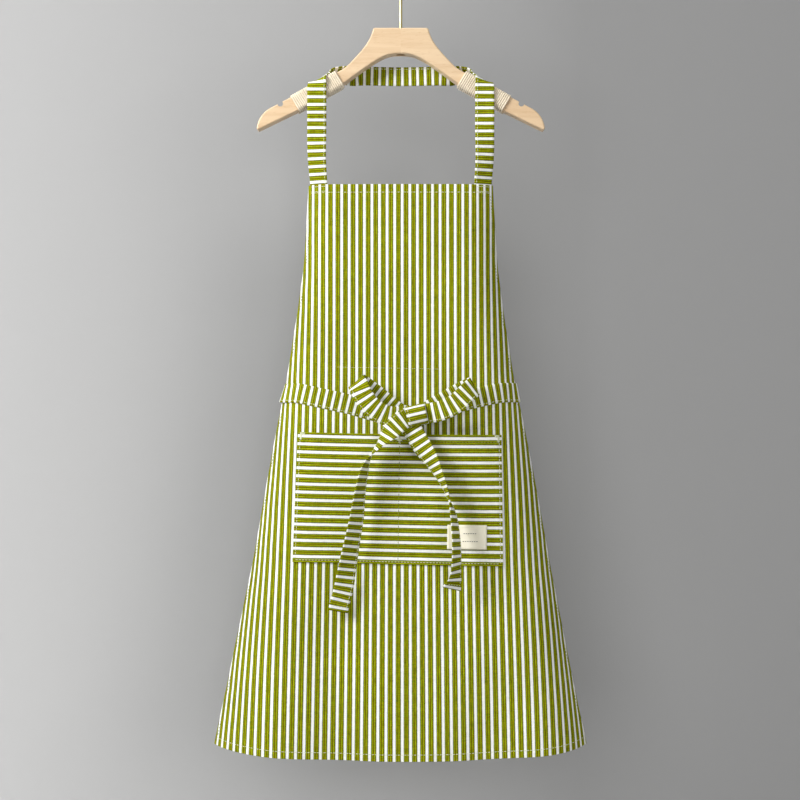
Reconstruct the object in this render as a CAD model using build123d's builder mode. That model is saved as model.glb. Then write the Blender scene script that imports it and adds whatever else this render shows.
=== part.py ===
from build123d import *
import math
import os

# A striped bib apron hanging on a two-part wooden hanger with a turning wire hook.
# Millimetres. The origin is the centre of the rail inside the hook, +X is the apron's
# right as seen from the front, -Y is the front and +Z is up.

# ---------------------------------------------------------------- driving dimensions
# Hook
WIRE_R = 2.0
HOOK_R = 21.0
NECK_BEND_R = 10.0
HOOK_END_DEG = 190.0
TIP_BALL_R = 2.9
HEAD_R = 3.6
HEAD_H = 2.4
WASHER_R = 5.4
WASHER_T = 1.2
WASHER_GAP = 0.2
HEAD_ROUND = 1.2
BORE_R = 2.08

# Hanger
WOOD_TOP = -85.0
WOOD_T = 18.0
WOOD_EASE = 2.0
HALF_SPAN = 188.0
ARCH_TOP = -118.7
SLOPE = 0.5346
ARM_TOP_X = 79.2
ARM_TOP_Z = -141.1
NOTCH_X = 157.2
NOTCH_R = 3.8
COUNTERBORE_R = 6.0
COUNTERBORE_TOP = -109.6
TENON_L = 10.0
TENON_T = 6.0
TENON_TOP = -91.0
TENON_BOTTOM = -105.0
GLUE_GAP = 0.1

# Cord wraps
CORD_D = 2.8
WRAP_L = 70.0
WRAP_CENTRE = (109.5, -167.8)
WRAP_SLOPE_DEG = 29.2
WRAP_H = 24.2

# Apron cloth
CLOTH_T = 1.6
STRAP_T = 2.4
STRAP_IN = 97.0
STRAP_OUT = 122.0
STRAP_Y = 12.3
STRAP_CLEAR = CORD_D + 1.0
FOLD_IN = 86.0
BAND_TOP = -131.0
BAND_BOTTOM = -156.0
BAND_END_TOP = (76.0, -130.5)
BAND_END_BOTTOM = (72.0, -154.5)
STRAP_TACK = 14.0
BIB_TOP = -290.0
HEM_CORNER = -1016.5
HEM_CENTRE = -1028.5
HEM_X = 243.5
BIB_HEM_H = 11.0
BOTTOM_HEM_H = 9.0
SIDE_HEM_W = 6.0
HEM_T = 1.2
SEWN_GAP = 0.1
SEAM_GAP = 0.2
TACK_T = 0.8
THROUGH = 120.0

# Height, half width, front face, depth of the turned-back side, width of the turn
SECTIONS = [
    (-290.0, 120.5, -15.0, 14.0, 32.0),
    (-390.0, 126.0, -16.0, 20.0, 36.0),
    (-470.0, 138.0, -17.0, 24.0, 42.0),
    (-548.0, 150.0, -19.0, 27.0, 46.0),
    (-600.0, 161.5, -26.0, 32.0, 52.0),
    (-790.0, 196.0, -36.0, 40.0, 66.0),
    (-1029.0, 244.5, -62.0, 40.0, 66.0),
]

# Pocket and label
POCKET_TOP = -612.0
POCKET_BOTTOM = -784.0
POCKET_HALF_W = 131.0
POCKET_BACK_Y = -37.2
POCKET_T = 1.8
POCKET_HEM_H = 13.0
LABEL_W = 52.0
LABEL_H = 32.0
LABEL_CENTRE = (85.0, -746.0)
LABEL_T = 0.8
LABEL_SEAM_IN = 2.0
LABEL_SEAM_W = 0.5
LABEL_SEAM_T = 0.4
THREAD_T = 0.8
POCKET_TACK_W = 7.0
POCKET_TACK_H = 3.0
POCKET_TACK_IN = 5.0
POCKET_HEM_T = 1.0

# Waist ties and bow
TIE_T = 2.4
TIE_GAP = 0.3
TIE_WRAP_TOP = -546.0
TIE_WRAP_BOTTOM = -572.0
SEWN_TOP = -576.0
SEWN_BOTTOM = -602.0
SEWN_TAB_Y = 8.4
SEWN_TAB_W = 4.0
TIE_TACK_W = 12.0
TIE_TACK_H = 14.0
LEFT_TIE_EDGE_R = 3.0
RIGHT_TIE_EDGE_R = 5.2
KNOT_CENTRE = (20.0, -590.0)
KNOT_W = 26.0
KNOT_H = 23.0
KNOT_FRONT = -52.0
KNOT_BACK = -29.4
KNOT_TURN_DEG = 13.0
KNOT_ROUND = 5.0
LOOP_W = 26.0
LOOP_DEPTH = 21.0
LOOP_ENDS = {"left": (-58.5, -547.0), "right": (93.5, -556.0)}
LOOP_ROOTS = {"left": (8.0, -583.0), "right": (33.5, -585.0)}
TAIL_T = 2.0
TAIL_Y = -47.0
TAIL_TOP = -606.4

os.makedirs("parts", exist_ok=True)


def finish(solid, name):
    """Label one sub-part and write its STEP file."""
    solid.label = name
    export_step(solid, f"parts/{name}.step")


def arm_top(x):
    """Height of the straight top edge of an arm."""
    return ARM_TOP_Z - (abs(x) - ARM_TOP_X) * SLOPE


# ---------------------------------------------------------------- hook
neck_z = -math.sqrt((HOOK_R + NECK_BEND_R) ** 2 - NECK_BEND_R**2)
bend_deg = 90.0 - math.degrees(math.asin(NECK_BEND_R / (HOOK_R + NECK_BEND_R)))
start_deg = -bend_deg
head_top = COUNTERBORE_TOP - WASHER_GAP - WASHER_T

with BuildPart() as hook_wire:
    with BuildLine(Plane.XZ) as wire_path:
        shank = Line((0, head_top), (0, neck_z))
        bend = JernArc(shank @ 1, shank % 1, NECK_BEND_R, -bend_deg)
        crook = JernArc(bend @ 1, bend % 1, HOOK_R, HOOK_END_DEG - start_deg)
    with BuildSketch(Plane.XY.offset(head_top)):
        Circle(WIRE_R)
    sweep()
    with Locations(crook @ 1):
        Sphere(TIP_BALL_R)
    with Locations((0, 0, head_top - HEAD_H / 2)):
        Cylinder(HEAD_R, HEAD_H)
    fillet(hook_wire.edges().group_by(Axis.Z)[0], HEAD_ROUND)
finish(hook_wire.part, "hook_wire")

with BuildPart() as hook_washer:
    with BuildSketch(Plane.XY.offset(head_top)):
        Circle(WASHER_R)
        Circle(BORE_R, mode=Mode.SUBTRACT)
    extrude(amount=WASHER_T)
finish(hook_washer.part, "hook_washer")

# ---------------------------------------------------------------- hanger
arch = [(130.0, -191.0), (75.5, -158.5), (47.5, -138.2), (24.0, -123.6), (0.0, ARCH_TOP)]

with BuildPart() as hanger_blank:
    with BuildSketch(Plane.XZ):
        with BuildLine():
            Line((0, WOOD_TOP), (33.5, WOOD_TOP))
            RadiusArc((33.5, WOOD_TOP), (36.6, WOOD_TOP - 3.2), 3.4)
            Spline(
                (36.6, WOOD_TOP - 3.2), (44.6, -105.8), (62.0, -126.5), (ARM_TOP_X, ARM_TOP_Z),
                tangents=[(0.25, -1.0), (1.0, -SLOPE)],
            )
            Line((ARM_TOP_X, ARM_TOP_Z), (168.0, arm_top(168.0)))
            ThreePointArc((168.0, arm_top(168.0)), (182.4, -200.5), (HALF_SPAN, -215.5))
            RadiusArc((HALF_SPAN, -215.5), (184.6, -217.6), 2.2)
            Line((184.6, -217.6), arch[0])
            Spline(*arch, tangents=[(-1.0, 0.5), (-1.0, 0.0)])
            Line((0, ARCH_TOP), (0, WOOD_TOP))
        make_face()
        mirror(about=Plane.YZ)
    extrude(amount=WOOD_T / 2, both=True)
    long_edges = hanger_blank.faces().filter_by(Axis.Y).edges()
    fillet(long_edges, WOOD_EASE)
    with BuildSketch(Plane.XZ):
        with Locations((NOTCH_X, arm_top(NOTCH_X) - 1.4), (-NOTCH_X, arm_top(NOTCH_X) - 1.4)):
            Circle(NOTCH_R)
    extrude(amount=WOOD_T, both=True, mode=Mode.SUBTRACT)
    with BuildSketch(Plane.XY.offset(WOOD_TOP + 1)):
        Circle(BORE_R)
    extrude(amount=-60, mode=Mode.SUBTRACT)
    with BuildSketch(Plane.XY.offset(COUNTERBORE_TOP)):
        Circle(COUNTERBORE_R)
    extrude(amount=-30, mode=Mode.SUBTRACT)

tenon_mid = (TENON_TOP + TENON_BOTTOM) / 2
tenon_h = TENON_TOP - TENON_BOTTOM

with BuildPart() as hanger_left_arm:
    add(hanger_blank.part)
    with Locations((HALF_SPAN + TENON_L, 0, tenon_mid)):
        Box(2 * HALF_SPAN, 60, 400, mode=Mode.SUBTRACT)
    with Locations((HALF_SPAN, 0, 0)):
        Box(2 * HALF_SPAN, 60, 2 * -TENON_TOP, mode=Mode.SUBTRACT)
    with Locations((HALF_SPAN, 0, TENON_BOTTOM - 100)):
        Box(2 * HALF_SPAN, 60, 200, mode=Mode.SUBTRACT)
    cheek_y = TENON_T / 2 + 15
    with Locations((HALF_SPAN, cheek_y, tenon_mid), (HALF_SPAN, -cheek_y, tenon_mid)):
        Box(2 * HALF_SPAN, 30, 400, mode=Mode.SUBTRACT)
finish(hanger_left_arm.part, "hanger_left_arm")

with BuildPart() as hanger_right_arm:
    add(hanger_blank.part)
    with Locations((-HALF_SPAN - 20, 0, -150)):
        Box(2 * HALF_SPAN + 40, 60, 400, mode=Mode.SUBTRACT)
    with Locations((TENON_L / 2, 0, tenon_mid)):
        Box(
            TENON_L + 2 * GLUE_GAP,
            TENON_T + 2 * GLUE_GAP,
            tenon_h + 2 * GLUE_GAP,
            mode=Mode.SUBTRACT,
        )
finish(hanger_right_arm.part, "hanger_right_arm")

for side_name, side in (("left", -1), ("right", 1)):
    slope = math.radians(WRAP_SLOPE_DEG)
    axis_dir = (side * math.cos(slope), 0, -math.sin(slope))
    wrap_plane = Plane(
        origin=(side * WRAP_CENTRE[0], 0, WRAP_CENTRE[1]),
        x_dir=(0, 1, 0),
        z_dir=axis_dir,
    )
    with BuildPart() as cord_wrap:
        with BuildSketch(wrap_plane):
            RectangleRounded(WOOD_T + 2 * CORD_D, WRAP_H, WOOD_EASE + CORD_D)
        extrude(amount=WRAP_L / 2, both=True)
        add(hanger_blank.part, mode=Mode.SUBTRACT)
    finish(cord_wrap.part, f"{side_name}_cord_wrap")


# ---------------------------------------------------------------- cloth shells
def section_at(z):
    """Half width, front face, turned-back depth and turn width at a height."""
    for upper, lower in zip(SECTIONS, SECTIONS[1:]):
        if z >= lower[0]:
            share = (upper[0] - z) / (upper[0] - lower[0])
            return [a + (b - a) * share for a, b in zip(upper[1:], lower[1:])]
    return list(SECTIONS[-1][1:])


def shell(heights, outside, thickness):
    """A thin wall that follows the apron's cross sections, outside mm proud of its face."""
    with BuildPart() as wall:
        for z in heights:
            half_w, front, depth, turn = section_at(z)
            radius = (turn**2 + depth**2) / (2 * depth)
            angle = math.degrees(2 * math.atan(depth / turn))
            flat = half_w - turn
            with BuildSketch(Plane.XY.offset(z)):
                with BuildLine():
                    outer = Line((-flat, front - outside), (flat, front - outside))
                    JernArc(outer @ 1, outer % 1, radius + outside, angle)
                    JernArc(outer @ 0, -(outer % 0), radius + outside, -angle)
                    inner_y = front - outside + thickness
                    inner = Line((-flat, inner_y), (flat, inner_y))
                    right = JernArc(inner @ 1, inner % 1, radius + outside - thickness, angle)
                    left = JernArc(inner @ 0, -(inner % 0), radius + outside - thickness, -angle)
                    ends_x = (radius + outside) * math.sin(math.radians(angle)) + flat
                    ends_y = front + radius - (radius + outside) * math.cos(math.radians(angle))
                    Line(right @ 1, (ends_x, ends_y))
                    Line(left @ 1, (-ends_x, ends_y))
                make_face()
        loft(ruled=True)
    return wall.part


def front_view_prism(points):
    """A prism through the whole depth whose front view is the polygon of (x, z) points."""
    with BuildPart() as prism:
        with BuildSketch(Plane.XZ):
            Polygon(*points, align=None)
        extrude(amount=THROUGH, both=True)
    return prism.part


def below_hem(lift):
    """Everything below the curved hem line, raised by lift mm."""
    end_x = 300.0
    end_z = HEM_CENTRE + (HEM_CORNER - HEM_CENTRE) * (end_x / HEM_X) ** 2 + lift
    floor_z = HEM_CENTRE - 70.0
    with BuildPart() as below:
        with BuildSketch(Plane.XZ):
            with BuildLine():
                ThreePointArc((-end_x, end_z), (0, HEM_CENTRE + lift), (end_x, end_z))
                Polyline((end_x, end_z), (end_x, floor_z), (-end_x, floor_z), (-end_x, end_z))
            make_face()
        extrude(amount=THROUGH, both=True)
    return below.part


body_heights = [z for z, *_ in SECTIONS]

with BuildPart() as apron_body:
    add(shell(body_heights, 0, CLOTH_T))
    add(below_hem(0), mode=Mode.SUBTRACT)
finish(apron_body.part, "apron_body")

with BuildPart() as lining:
    add(shell(body_heights, -CLOTH_T - SEWN_GAP, HEM_T))
    add(below_hem(0), mode=Mode.SUBTRACT)

with BuildPart() as bib_top_hem:
    add(shell([BIB_TOP, BIB_TOP - BIB_HEM_H], -CLOTH_T - SEWN_GAP, HEM_T))
finish(bib_top_hem.part, "bib_top_hem")

with BuildPart() as bottom_hem:
    add(lining.part)
    add(below_hem(BOTTOM_HEM_H), mode=Mode.INTERSECT)
finish(bottom_hem.part, "bottom_hem")

side_line = [(half_w, z) for z, half_w, *_ in SECTIONS]
for side_name, side in (("left", -1), ("right", 1)):
    inner_line = [(side * (half_w - SIDE_HEM_W), z) for half_w, z in side_line]
    outer_line = [(side * (half_w + 20), z) for half_w, z in reversed(side_line)]
    with BuildPart() as side_hem:
        add(lining.part)
        add(front_view_prism(inner_line + outer_line), mode=Mode.INTERSECT)
        add(below_hem(BOTTOM_HEM_H + SEAM_GAP), mode=Mode.SUBTRACT)
        with Locations((0, 0, BIB_TOP)):
            Box(4 * HEM_X, 2 * THROUGH, 2 * (BIB_HEM_H + SEAM_GAP), mode=Mode.SUBTRACT)
    finish(side_hem.part, f"{side_name}_side_hem")

# ---------------------------------------------------------------- neck strap
slope_len = math.sqrt(1 + SLOPE**2)
strap_under = STRAP_CLEAR * slope_len
strap_over = (STRAP_CLEAR + STRAP_T) * slope_len
strap_foot = BIB_TOP + SEAM_GAP

with BuildPart() as neck_strap:
    for side in (-1, 1):
        with BuildSketch(Plane.XZ.offset(STRAP_Y)):
            Polygon(
                (side * STRAP_IN, strap_foot),
                (side * STRAP_OUT, strap_foot),
                (side * STRAP_OUT, arm_top(STRAP_OUT) + strap_over),
                (side * STRAP_IN, arm_top(STRAP_IN) + strap_over),
                align=None,
            )
        extrude(amount=STRAP_T)
        with BuildSketch(Plane.XZ):
            Polygon(
                (side * FOLD_IN, arm_top(FOLD_IN) + strap_under),
                (side * STRAP_OUT, arm_top(STRAP_OUT) + strap_under),
                (side * STRAP_OUT, arm_top(STRAP_OUT) + strap_over),
                (side * FOLD_IN, arm_top(FOLD_IN) + strap_over),
                align=None,
            )
        extrude(amount=STRAP_Y + STRAP_T, both=True)
    with BuildSketch(Plane.XZ.offset(-STRAP_Y - STRAP_T)):
        with BuildLine():
            for side in (-1, 1):
                Polyline(
                    (0, BAND_TOP),
                    (side * BAND_END_TOP[0], BAND_END_TOP[1]),
                    (side * FOLD_IN, arm_top(FOLD_IN) + strap_over),
                    (side * STRAP_OUT, arm_top(STRAP_OUT) + strap_over),
                    (side * STRAP_OUT, arm_top(STRAP_OUT) - 16),
                    (side * BAND_END_BOTTOM[0], BAND_END_BOTTOM[1]),
                    (0, BAND_BOTTOM),
                )
        make_face()
    extrude(amount=STRAP_T)
finish(neck_strap.part, "neck_strap")

strap_tack_y = -STRAP_Y - STRAP_T - SEWN_GAP - TACK_T

with BuildPart() as strap_bartacks:
    for side in (-1, 1):
        with Locations((side * (STRAP_IN + 9), strap_tack_y, BIB_TOP + 2)):
            Box(STRAP_TACK, TACK_T, STRAP_TACK)
finish(strap_bartacks.part, "strap_bartacks")

# ---------------------------------------------------------------- pocket and label
pocket_mid = (POCKET_TOP + POCKET_BOTTOM) / 2
pocket_h = POCKET_TOP - POCKET_BOTTOM
pocket_front = POCKET_BACK_Y - POCKET_T
in_front_of_body = shell([POCKET_TOP + 10, -790.0, -800.0], TIE_GAP, 70)


def pocket_web(x, width):
    """A wall that closes the gap between the pocket's panel and the apron body."""
    with BuildPart() as web:
        with Locations((x, POCKET_BACK_Y + 30, pocket_mid)):
            Box(width, 60, pocket_h)
        add(in_front_of_body, mode=Mode.SUBTRACT)
    return web.part


with BuildPart() as pocket_panel:
    with Locations((0, POCKET_BACK_Y - POCKET_T / 2, pocket_mid)):
        Box(2 * POCKET_HALF_W, POCKET_T, pocket_h)
    for side in (-1, 1):
        add(pocket_web(side * (POCKET_HALF_W - POCKET_T / 2), POCKET_T))
finish(pocket_panel.part, "pocket_panel")

hem_in = POCKET_HALF_W - POCKET_T - SEWN_GAP
with BuildPart() as pocket_top_hem:
    for side in (-1, 1):
        x_mid = side * (hem_in + THREAD_T) / 2
        hem_y = POCKET_BACK_Y + SEWN_GAP + POCKET_HEM_T / 2
        with Locations((x_mid, hem_y, POCKET_TOP - POCKET_HEM_H / 2)):
            Box(hem_in - THREAD_T, POCKET_HEM_T, POCKET_HEM_H)
finish(pocket_top_hem.part, "pocket_top_hem")

with BuildPart() as pocket_divider_seam:
    add(pocket_web(0, THREAD_T))
finish(pocket_divider_seam.part, "pocket_divider_seam")

with BuildPart() as pocket_bartacks:
    tack_x = POCKET_HALF_W - POCKET_TACK_IN
    for x in (-tack_x, 0, tack_x):
        with Locations((x, pocket_front - TACK_T / 2, POCKET_TOP - POCKET_TACK_IN)):
            Box(POCKET_TACK_W, TACK_T, POCKET_TACK_H)
finish(pocket_bartacks.part, "pocket_bartacks")

with BuildPart() as label:
    with Locations((LABEL_CENTRE[0], pocket_front - LABEL_T / 2, LABEL_CENTRE[1])):
        Box(LABEL_W, LABEL_T, LABEL_H)
finish(label.part, "label")

seam_w = LABEL_W - 2 * LABEL_SEAM_IN
seam_h = LABEL_H - 2 * LABEL_SEAM_IN
with BuildPart() as label_seam:
    seam_y = pocket_front - LABEL_T - LABEL_SEAM_T / 2
    with Locations((LABEL_CENTRE[0], seam_y, LABEL_CENTRE[1])):
        Box(seam_w, LABEL_SEAM_T, seam_h)
        Box(seam_w - 2 * LABEL_SEAM_W, THROUGH, seam_h - 2 * LABEL_SEAM_W, mode=Mode.SUBTRACT)
finish(label_seam.part, "label_seam")


# ---------------------------------------------------------------- waist ties
def tie_wall(edge_r):
    """The front run of a tie: along the front, round the apron's right edge, to the back."""
    with BuildPart() as wall:
        for z in (-540.0, -548.0, -600.0, -615.0):
            half_w, front, depth, turn = section_at(z)
            radius = (turn**2 + depth**2) / (2 * depth)
            angle = math.degrees(2 * math.atan(depth / turn))
            flat = half_w - turn
            with BuildSketch(Plane.XY.offset(z)):
                with BuildLine():
                    ends = []
                    for proud in (TIE_GAP, TIE_GAP + TIE_T):
                        run = Line((0, front - proud), (flat, front - proud))
                        bend = JernArc(run @ 1, run % 1, radius + proud, angle)
                        edge = JernArc(bend @ 1, bend % 1, edge_r + proud - TIE_GAP, 180 - angle)
                        back = Line(edge @ 1, (edge @ 1) + Vector(-10, 0))
                        ends.append((run @ 0, back @ 1))
                    Line(ends[0][0], ends[1][0])
                    Line(ends[0][1], ends[1][1])
                make_face()
        loft(ruled=True)
    return wall.part


def back_face_y(edge_r):
    """Where the back run lies: the mean height of the wall's inner face behind the apron."""
    half_w, front, depth, turn = section_at((TIE_WRAP_TOP + TIE_WRAP_BOTTOM) / 2)
    angle = 2 * math.atan(depth / turn)
    return front + depth + edge_r * (1 + math.cos(angle))


front_outlines = {
    "left": [(180, -545.7), (128, -548.3), (98, -554.2), (30, -575), (6, -582), (6, -606),
             (34, -600.4), (76, -586), (117, -577.1), (180, -571.2)],
    "right": [(180, -545.7), (132, -548.5), (110, -554.7), (70, -561.5), (6, -580), (6, -604),
              (19, -599), (67, -590.7), (132, -575.8), (180, -571.2)],
}
sewn_x = section_at(SEWN_TOP)[0] - 2.0
sewn_z = (SEWN_TOP + SEWN_BOTTOM) / 2
wrap_x = section_at(TIE_WRAP_TOP)[0]

for side_name, side, edge_r in (("left", 1, LEFT_TIE_EDGE_R), ("right", -1, RIGHT_TIE_EDGE_R)):
    inner_y = back_face_y(edge_r)
    with BuildPart() as tie_front:
        add(tie_wall(edge_r))
        add(front_view_prism(front_outlines[side_name]), mode=Mode.INTERSECT)
    with BuildPart() as waist_tie:
        add(tie_front.part if side == 1 else tie_front.part.mirror(Plane.YZ))
        with BuildSketch(Plane.XZ.offset(-inner_y - TIE_T)):
            Polygon(
                (side * (wrap_x - 3), TIE_WRAP_TOP - 0.2),
                (side * (wrap_x - 3), TIE_WRAP_BOTTOM + 0.4),
                (-side * sewn_x, SEWN_BOTTOM),
                (-side * sewn_x, SEWN_TOP),
                align=None,
            )
        extrude(amount=TIE_T)
        tab_l = inner_y + TIE_T - SEWN_TAB_Y
        with Locations((-side * (sewn_x - SEWN_TAB_W / 2), SEWN_TAB_Y + tab_l / 2, sewn_z)):
            Box(SEWN_TAB_W, tab_l, SEWN_TOP - SEWN_BOTTOM)
    finish(waist_tie.part, f"waist_tie_{side_name}")
    with BuildPart() as tie_tack:
        tack_y = inner_y + TIE_T + TACK_T / 2
        with Locations((-side * (sewn_x - 9), tack_y, sewn_z)):
            Box(TIE_TACK_W, TACK_T, TIE_TACK_H)
    finish(tie_tack.part, f"tie_bartack_{side_name}")

# ---------------------------------------------------------------- bow
knot_mid_y = (KNOT_FRONT + KNOT_BACK) / 2
knot_depth = KNOT_BACK - KNOT_FRONT

with BuildPart() as bow_knot:
    with Locations(Location((KNOT_CENTRE[0], knot_mid_y, KNOT_CENTRE[1]), (0, -KNOT_TURN_DEG, 0))):
        Box(KNOT_W, knot_depth, KNOT_H)
    fillet(bow_knot.edges(), KNOT_ROUND)
finish(bow_knot.part, "bow_knot")

for side_name, end in LOOP_ENDS.items():
    root = LOOP_ROOTS[side_name]
    run_x = end[0] - root[0]
    run_z = end[1] - root[1]
    reach = math.hypot(run_x, run_z)
    loop_plane = Plane(
        origin=((root[0] + end[0]) / 2, knot_mid_y, (root[1] + end[1]) / 2),
        x_dir=(run_x, 0, run_z),
        z_dir=(-run_z / reach, 0, run_x / reach),
    )
    with BuildPart() as bow_loop:
        with BuildSketch(loop_plane):
            Ellipse(reach / 2, LOOP_DEPTH / 2)
            Ellipse(reach / 2 - TIE_T, LOOP_DEPTH / 2 - TIE_T, mode=Mode.SUBTRACT)
        extrude(amount=LOOP_W / 2, both=True)
        add(bow_knot.part, mode=Mode.SUBTRACT)
    finish(bow_loop.part.solids().sort_by(SortBy.VOLUME)[-1], f"bow_loop_{side_name}")

tail_outlines = {
    "left": [(-14, TAIL_TOP), (8, TAIL_TOP), (-2, -618), (-41, -657), (-45, -687), (-56, -784),
             (-67.5, -841), (-92, -841), (-79, -784), (-58, -687), (-49, -657), (-37, -637)],
    "right": [(8.4, TAIL_TOP), (25, TAIL_TOP), (47, -647), (60, -687), (67, -708), (76, -755),
              (77, -811), (57, -812), (62.4, -794), (62, -708), (52, -687), (27, -647)],
}
for side_name, outline in tail_outlines.items():
    with BuildPart() as bow_tail:
        with BuildSketch(Plane.XZ.offset(-TAIL_Y - TAIL_T / 2)):
            Polygon(*outline, align=None)
        extrude(amount=TAIL_T)
    finish(bow_tail.part, f"bow_tail_{side_name}")
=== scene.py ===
import math

import bpy
import numpy as np
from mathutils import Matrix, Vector, noise


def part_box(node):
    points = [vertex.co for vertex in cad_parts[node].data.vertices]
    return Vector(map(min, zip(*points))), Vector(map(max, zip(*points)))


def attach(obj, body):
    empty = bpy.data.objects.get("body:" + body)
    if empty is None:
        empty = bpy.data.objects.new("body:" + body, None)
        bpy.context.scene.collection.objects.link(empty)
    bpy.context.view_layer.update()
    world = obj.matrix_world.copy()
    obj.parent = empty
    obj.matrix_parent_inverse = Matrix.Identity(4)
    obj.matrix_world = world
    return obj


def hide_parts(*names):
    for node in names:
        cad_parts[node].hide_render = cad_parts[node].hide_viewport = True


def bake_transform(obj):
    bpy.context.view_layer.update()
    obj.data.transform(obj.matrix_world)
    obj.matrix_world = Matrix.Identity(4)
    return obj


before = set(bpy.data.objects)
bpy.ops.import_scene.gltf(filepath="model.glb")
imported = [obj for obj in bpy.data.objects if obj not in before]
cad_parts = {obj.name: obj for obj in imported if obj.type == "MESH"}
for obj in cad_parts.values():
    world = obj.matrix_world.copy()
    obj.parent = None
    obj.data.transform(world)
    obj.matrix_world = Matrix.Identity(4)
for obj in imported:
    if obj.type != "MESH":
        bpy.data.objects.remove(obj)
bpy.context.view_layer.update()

MM = 0.001
OUT = (0.0, -1.0, 0.0)  # the apron's front faces -Y
INWARD = (0.0, 1.0, 0.0)
UPRIGHT = (0.0, 0.0, 1.0)

# ------------------------------------------------------------------ sizes
CLOTH_T = 0.8 * MM
STRIPE = 10.0 * MM
STRIPE_PHASE = 1.9 * MM
TAPE_W = 25.5 * MM
TAPE_T = 1.7 * MM
TAPE_CELLS = 8
TAPE_MARGIN = 2.0 * MM
TAPE_WAVE = 0.5 * MM
TAPE_TWIST = 0.03
BOW_W = 25.6 * MM
END_HEM = 8.0 * MM
TWINE_R = 1.4 * MM
THREAD_R = 0.34 * MM
STITCH_PITCH = 4.1 * MM
STITCH_LEN = 3.1 * MM
# A stitch's height and thickness along its length, as shares of the thread's radius.
STITCH_ARCH = np.array([-0.7, 0.55, 0.95, 0.55, -0.7])
STITCH_FAT = np.array([0.6, 1.0, 1.05, 1.0, 0.6])
HEM_SEAM = 8.6 * MM
BIB_SEAM = 10.5 * MM
SIDE_SEAM = 7.0 * MM
# Cross sections of the hung cloth in mm: height, half width, front y, how far its edge turns back,
# and over what width it turns.
CLOTH_SECTIONS = [
    (-1029, 245.5, -62, 40, 66), (-790, 196, -36, 40, 66), (-600, 161.5, -26, 32, 52),
    (-548, 150, -19, 27, 46), (-470, 138, -17, 24, 42), (-390, 126, -16, 20, 36),
    (-290, 120.5, -15, 14, 32),
]
SECTION_EASE = 22.0 * MM
TURN_POWER = 1.35
FLAT_SHARE = 0.86  # of the width that doesn't turn
HEM_RISE = 13.0 * MM
HEM_CURVE = 1.9
# Folds down the cloth: share of the height, wave length, phase, and how the phase drifts to the hem.
FOLDS = ((0.55, 0.178, 0.9, 0.0), (0.35, 0.109, 2.3, 1.2), (0.25, 0.253, -0.4, 0.0))
FOLD_AT_BIB, FOLD_GROWTH = 0.6 * MM, 2.9 * MM
FAN_AT_BIB, FAN_GROWTH = 0.983, 0.062
BOW_THREAD_IN = -9.9 * MM  # the seam of a tie, off its centre line
STRAP_W = 25.0 * MM
STRAP_THREAD_IN = 9.6 * MM
STRAP_X = 109.2 * MM


def smooth(t):
    t = np.clip(t, 0.0, 1.0)
    return t * t * (3 - 2 * t)


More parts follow.
